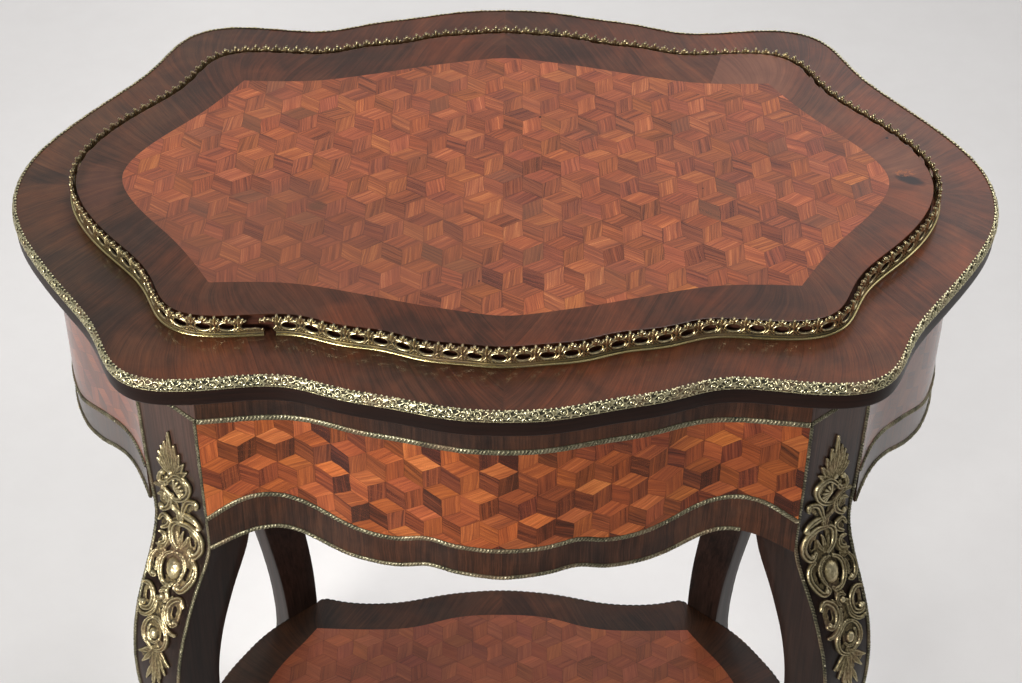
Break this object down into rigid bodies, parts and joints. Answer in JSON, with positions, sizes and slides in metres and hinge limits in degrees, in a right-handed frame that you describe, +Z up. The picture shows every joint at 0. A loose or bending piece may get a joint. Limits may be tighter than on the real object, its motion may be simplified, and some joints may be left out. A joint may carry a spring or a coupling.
{
  "type": "serpentine dressing table with lift-off lid",
  "caption": "Serpentine parquetry dressing table with a lift-off lid inside a pierced brass gallery, cabriole legs and a low shelf.",
  "frame": {"origin": "on the floor, under the centre of the table", "axes": "+Z up, +X along the table's width to the viewer's right, the front faces -Y"},
  "size_m": [0.8, 0.5554, 0.7895],
  "materials": {
    "carcase_wood": "stained and varnished",
    "rosewood": "polished",
    "crossbanding": "polished veneer, cross-banded",
    "parquetry": "polished tumbling-block veneer",
    "lining_wood": "waxed",
    "beech": "plain",
    "brass_trim": "aged, rubbed bright on the high points",
    "gilt_mounts": "cast, dark patina in the hollows",
    "mirror_glass": "silvered glass"
  },
  "bodies": {
    "table": {"apron_crossband_back": "crossbanding", "apron_crossband_front": "crossbanding", "apron_crossband_left": "crossbanding", "apron_crossband_right": "crossbanding", "apron_edge_fillets": "brass_trim", "frieze_parquetry_back": "parquetry", "frieze_parquetry_front": "parquetry", "frieze_parquetry_left": "parquetry", "frieze_parquetry_right": "parquetry", "frieze_rail_back": "carcase_wood", "frieze_rail_front": "carcase_wood", "frieze_rail_left": "carcase_wood", "frieze_rail_right": "carcase_wood", "frieze_top_crossband": "crossbanding", "frieze_top_fillet": "brass_trim", "gallery_segments": "brass_trim", "glue_blocks": "carcase_wood", "knee_mount_back_left": "gilt_mounts", "knee_mount_back_right": "gilt_mounts", "knee_mount_front_left": "gilt_mounts", "knee_mount_front_right": "gilt_mounts", "leg_back_left": "rosewood", "leg_back_right": "rosewood", "leg_edge_fillets": "brass_trim", "leg_front_left": "rosewood", "leg_front_right": "rosewood", "panel_lower_fillets": "brass_trim", "sabot_back_left": "gilt_mounts", "sabot_back_right": "gilt_mounts", "sabot_front_left": "gilt_mounts", "sabot_front_right": "gilt_mounts", "shelf_board": "carcase_wood", "shelf_crossbanding": "crossbanding", "shelf_dowels": "beech", "shelf_edge_moulding": "brass_trim", "shelf_parquetry": "parquetry", "top_board_back": "carcase_wood", "top_board_front": "carcase_wood", "top_board_left": "carcase_wood", "top_board_right": "carcase_wood", "top_crossbanding": "crossbanding", "top_edge_band": "brass_trim", "well_bearers": "carcase_wood", "well_dividers": "lining_wood", "well_floor": "lining_wood", "well_walls": "lining_wood"},
    "lid": {"lid_board": "carcase_wood", "lid_crossbanding": "crossbanding", "lid_locating_frame": "lining_wood", "lid_mirror": "mirror_glass", "lid_parquetry": "parquetry", "mirror_bead": "lining_wood"}
  },
  "joints": [
    {"name": "lid_lift", "type": "slide", "parent": "table", "child": "lid", "axis": [0, 0, 1], "range_m": [0, 0.22]}
  ]
}
